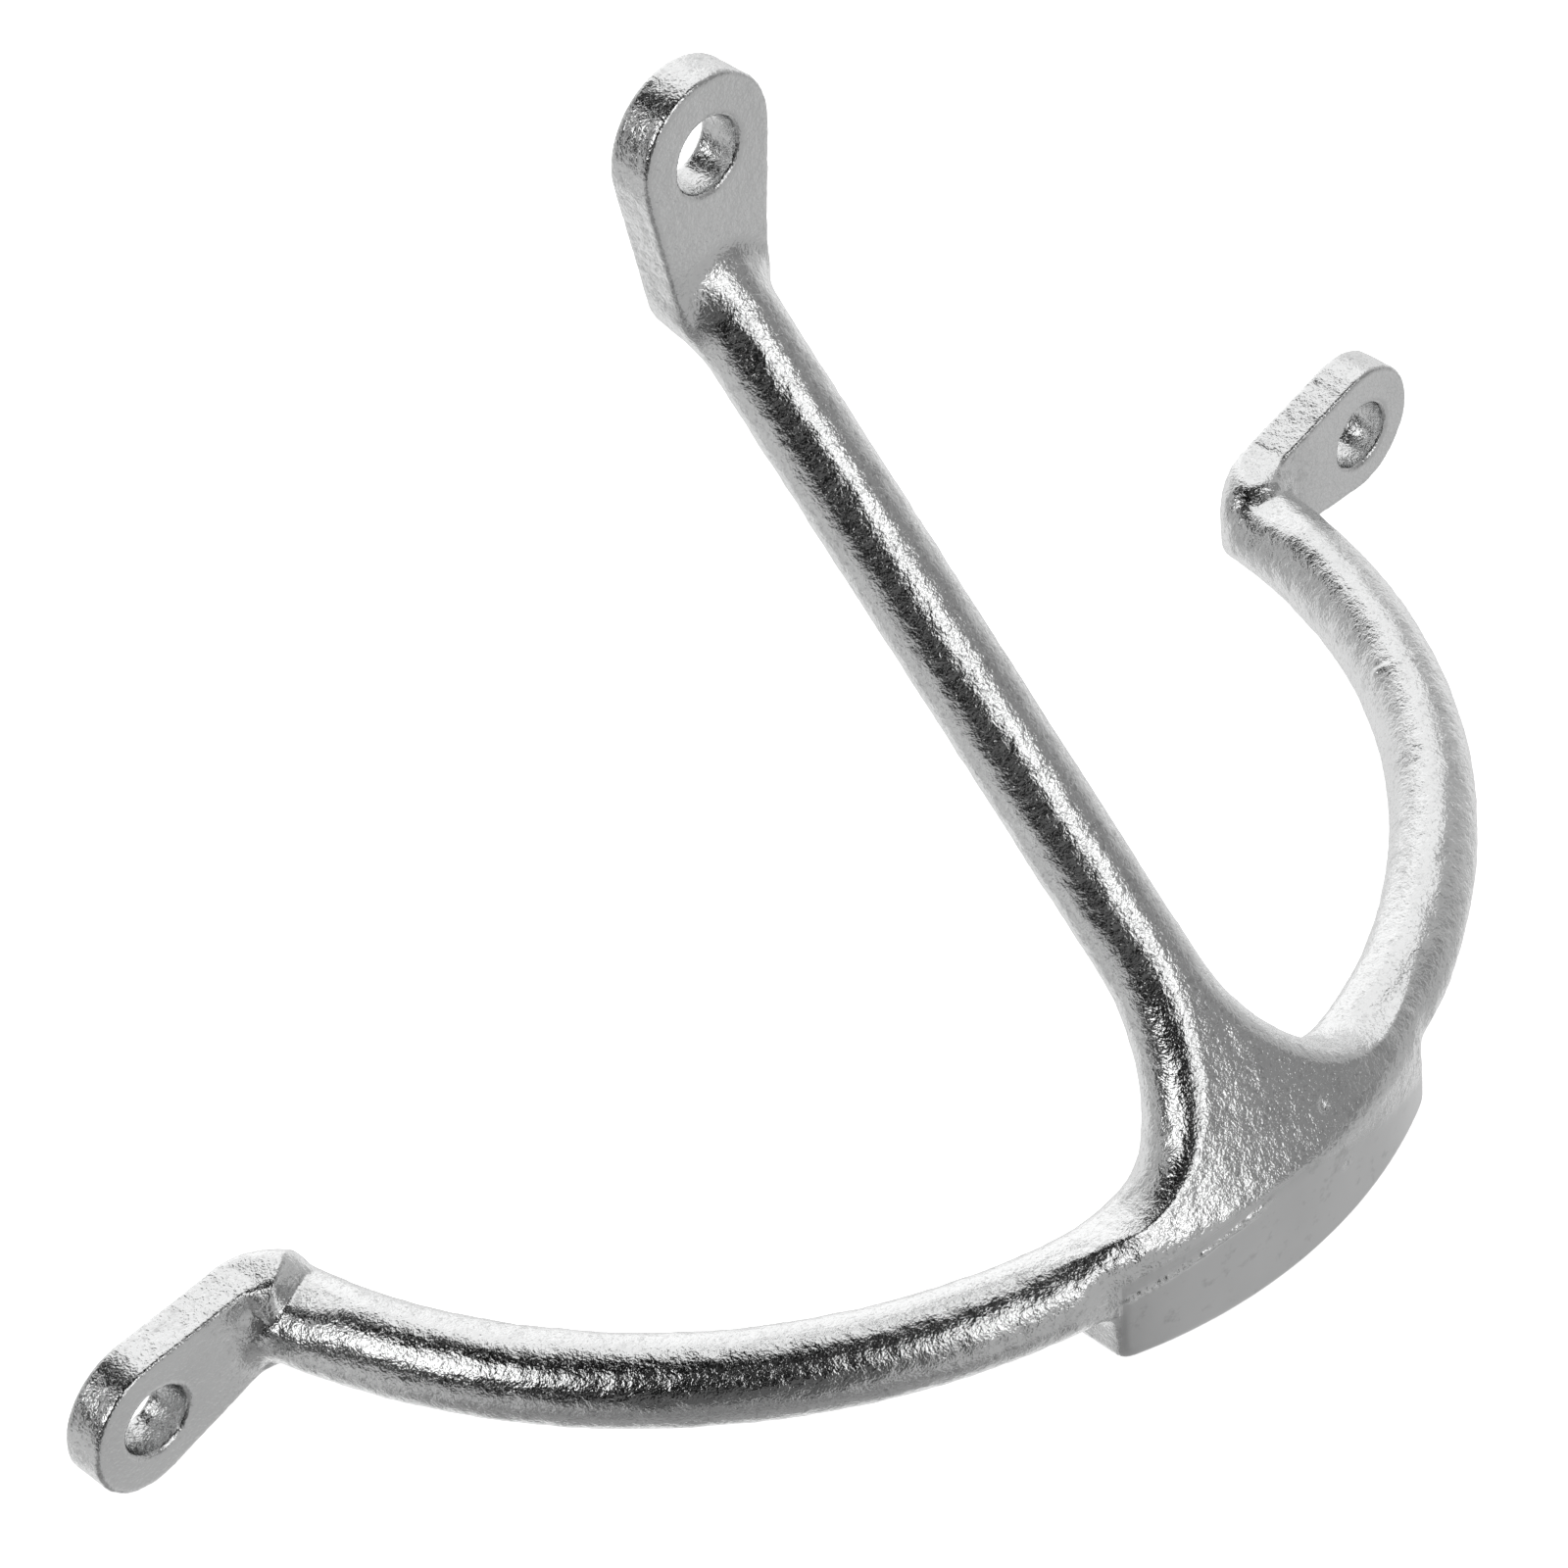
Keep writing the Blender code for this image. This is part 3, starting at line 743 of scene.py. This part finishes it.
def cast_plate():
    """Bright plating over a pebbly cast skin, smoother where the face was ground."""
    material = bpy.data.materials.new("bright_plated_casting")
    material.use_nodes = True
    tree = material.node_tree
    shader = tree.nodes["Principled BSDF"]
    shader.inputs["Metallic"].default_value = 1.0
    place = tree.nodes.new("ShaderNodeTexCoord").outputs["Object"]

    def share(name):
        made = tree.nodes.new("ShaderNodeAttribute")
        made.attribute_name = name
        return made.outputs["Fac"]

    def grain(size, detail, roughness=0.55, distortion=0.0):
        made = node(tree, "ShaderNodeTexNoise", Scale=1 / (size * MM), Detail=detail,
                    Roughness=roughness, Distortion=distortion)
        tree.links.new(place, made.inputs["Vector"])
        return made.outputs["Fac"]

    def times(a, b):
        return maths(tree, "MULTIPLY", a, b)

    def less(value):
        return maths(tree, "SUBTRACT", 1.0, value)

    ground, lug_face = share("ground"), share("lug_face")
    patches = grain(9.0, 3.0)
    pebbles = grain(0.50, 2.0, 0.5, 0.6)
    crumbs = grain(0.24, 1.5, 0.5, 0.3)
    specks = grain(2.4, 4.0, 0.65)

    skin_share = less(maths(tree, "MAXIMUM", ground, times(lug_face, 0.85)))
    # painted shade: the cast skin's colour is made up to a quarter darker in the hollows of the pebble bump
    pebble_hollow_shade = times(ramp(tree, pebbles, 0.25, 0.45, 0.25, 0.0), skin_share)
    dirt = times(ramp(tree, specks, 0.30, 0.42, 0.16, 0.0), less(lug_face))
    tone = times(times(ramp(tree, patches, 0.3, 0.7, 0.84, 0.90), less(pebble_hollow_shade)), less(dirt))
    tone = maths(tree, "SUBTRACT", tone, times(ground, 0.05))
    colour = tree.nodes.new("ShaderNodeCombineColor")
    for channel, part in (("Red", 0.995), ("Green", 1.0), ("Blue", 1.0)):
        tree.links.new(times(tone, part), colour.inputs[channel])
    tree.links.new(colour.outputs["Color"], shader.inputs["Base Color"])

    rough = maths(tree, "ADD", ramp(tree, patches, 0.3, 0.7, 0.10, 0.15), times(ground, 0.20))
    tree.links.new(maths(tree, "MAXIMUM", rough, 0.08), shader.inputs["Roughness"])

    calm = times(less(times(ground, 0.93)), less(times(lug_face, 0.3)))
    height = maths(tree, "ADD", pebbles, times(crumbs, 0.45))
    bump = node(tree, "ShaderNodeBump", Strength=1.0, Distance=0.085 * MM)
    tree.links.new(times(height, calm), bump.inputs["Height"])
    tree.links.new(bump.outputs["Normal"], shader.inputs["Normal"])
    return material


# ---------------------------------------------------------------- floor, light and camera
def direction(azimuth, elevation):
    """Unit vector: azimuth 0 is the side that faces away from the wall, 90 is +X."""
    a, e = math.radians(azimuth), math.radians(elevation)
    return Vector((math.sin(a) * math.cos(e), -math.cos(a) * math.cos(e), math.sin(e)))


# softboxes (positive) and dark screens (negative) round the object:
# azimuth, elevation, half-width in degrees, brightness
STUDIO = (
    (-35, 63, 36, -0.40),
    (-50, 4, 26, -0.31),
    (-117, 74, 13, -0.59),
    (-100, 40, 16, 1.10),
    (-1, 37, 15.5, 0.78),
    (145, 56, 31, 0.36),
    (-54, -60, 27, -0.20),
    (148, -27, 50, 0.26),
    (-166, 54, 14, -0.69),
    (-96, 26, 31, -0.36),
    (149, 0, 15, 0.20),
    (41, 18, 22, -0.15),
    (-60, -85, 30, 0.09),
    (54, -38, 5, 0.09),
    (0, 90, 6, 0.14),
    (62, 62, 12, -0.15),
    (90, -8, 14, 0.07),
    (-118, -25, 14, 0.09),
)
STUDIO_EDGE = 8
STUDIO_BASE = 0.49
STUDIO_CONTRAST = 1.45
STUDIO_GAIN = 0.54
STUDIO_LEAST = 0.02


def studio_world():
    """What the plating reflects, with a plain white backdrop behind it for the camera."""
    world = bpy.data.worlds.new("studio")
    bpy.context.scene.world = world
    world.use_nodes = True
    tree = world.node_tree
    tree.nodes.clear()
    place = tree.nodes.new("ShaderNodeTexCoord").outputs["Generated"]
    total = STUDIO_BASE
    for azimuth, elevation, half, strength in STUDIO:
        dot = tree.nodes.new("ShaderNodeVectorMath")
        dot.operation = "DOT_PRODUCT"
        tree.links.new(place, dot.inputs[0])
        dot.inputs[1].default_value = direction(azimuth, elevation)
        angle = maths(tree, "ARCCOSINE", dot.outputs["Value"], 0.0)
        soft = ramp(tree, angle, math.radians(half), math.radians(half + STUDIO_EDGE), strength, 0.0,
                    "SMOOTHSTEP")
        total = maths(tree, "ADD", soft, total)
    total = maths(tree, "MAXIMUM", total, STUDIO_LEAST)
    total = maths(tree, "POWER", maths(tree, "MULTIPLY", total, 1 / STUDIO_BASE), STUDIO_CONTRAST)
    total = maths(tree, "MULTIPLY", total, STUDIO_GAIN)
    around = tree.nodes.new("ShaderNodeBackground")
    tree.links.new(total, around.inputs["Strength"])
    backdrop = tree.nodes.new("ShaderNodeBackground")
    backdrop.inputs["Color"].default_value = (1.0, 1.0, 1.0, 1.0)
    backdrop.inputs["Strength"].default_value = 1.0
    ray = tree.nodes.new("ShaderNodeLightPath")
    mix = tree.nodes.new("ShaderNodeMixShader")
    tree.links.new(ray.outputs["Is Camera Ray"], mix.inputs["Fac"])
    tree.links.new(around.outputs[0], mix.inputs[1])
    tree.links.new(backdrop.outputs[0], mix.inputs[2])
    output = tree.nodes.new("ShaderNodeOutputWorld")
    tree.links.new(mix.outputs[0], output.inputs["Surface"])


FLOOR_REACH = 3.0               # metres, like the drop
FLOOR_DROP = 0.0003


def pale_floor():
    """A floor that looks nearly white to the camera and isn't mirrored in the plating."""
    mesh = bpy.data.meshes.new("floor")
    reach = FLOOR_REACH
    mesh.from_pydata([(-reach, -reach, 0), (reach, -reach, 0), (reach, reach, 0), (-reach, reach, 0)],
                     [], [(0, 1, 2, 3)])
    floor = bpy.data.objects.new("floor", mesh)
    floor.location.z = -FLOOR_DROP
    material = bpy.data.materials.new("pale_floor")
    material.use_nodes = True
    shader = material.node_tree.nodes["Principled BSDF"]
    shader.inputs["Base Color"].default_value = (0.85, 0.85, 0.85, 1.0)
    shader.inputs["Roughness"].default_value = 0.9
    shader.inputs["Specular IOR Level"].default_value = 0.0
    shader.inputs["Emission Color"].default_value = (1.0, 1.0, 1.0, 1.0)
    shader.inputs["Emission Strength"].default_value = 0.8
    mesh.materials.append(material)
    floor.visible_glossy = False
    bpy.context.scene.collection.objects.link(floor)


def soft_light(name, azimuth, elevation, distance, size, power):
    """A square lamp that faces the middle of the frame and isn't mirrored in the plating."""
    data = bpy.data.lights.new(name, "AREA")
    data.size = size
    data.energy = power
    lamp = bpy.data.objects.new(name, data)
    aim = direction(azimuth, elevation)
    lamp.location = aim * distance
    lamp.rotation_euler = aim.to_track_quat("Z", "Y").to_euler()
    lamp.visible_camera = False
    lamp.visible_glossy = False
    bpy.context.scene.collection.objects.link(lamp)


# the camera's direction and roll in degrees, and the place of the middle between the side holes as the
# camera sees it, in millimetres
VIEW_AZIMUTH = -41.381
VIEW_ELEVATION = 44.155
VIEW_ROLL = -7.287
AIM_RIGHT = 2.002
AIM_DOWN = 11.615
AIM_AWAY = 614.882
SENSOR = 36.0
LENS = 134.18325
NEAREST = 0.01


def camera():
    back = direction(VIEW_AZIMUTH, VIEW_ELEVATION)
    azimuth, roll = math.radians(VIEW_AZIMUTH), math.radians(VIEW_ROLL)
    right = Vector((math.cos(azimuth), math.sin(azimuth), 0.0))
    up = back.cross(right)
    rolled_right = right * math.cos(roll) + up * math.sin(roll)
    rolled_up = up * math.cos(roll) - right * math.sin(roll)
    aim = Vector((0.0, FRONT_Y, HOLE_Z)) * MM
    offset = rolled_right * AIM_RIGHT - rolled_up * AIM_DOWN - back * AIM_AWAY
    turned = Matrix((rolled_right, rolled_up, back)).transposed().to_4x4()
    data = bpy.data.cameras.new("camera")
    data.sensor_width = SENSOR
    data.lens = LENS
    data.clip_start = NEAREST
    viewer = bpy.data.objects.new("camera", data)
    viewer.matrix_world = Matrix.Translation(aim - offset * MM) @ turned
    bpy.context.scene.collection.objects.link(viewer)
    bpy.context.scene.camera = viewer


def main():
    positions, normals, groups = members(*cast_mesh())
    material = cast_plate()
    for name in sorted(groups):
        piece = member_piece("cast_" + name, positions, normals, groups[name], material)
        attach(piece, "root")
        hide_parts(name)
    pale_floor()
    studio_world()
    soft_light("overhead", azimuth=-20, elevation=75, distance=1.2, size=0.9, power=9.0)
    camera()
    bpy.context.scene.view_settings.view_transform = "Standard"
    bpy.context.view_layer.update()


main()
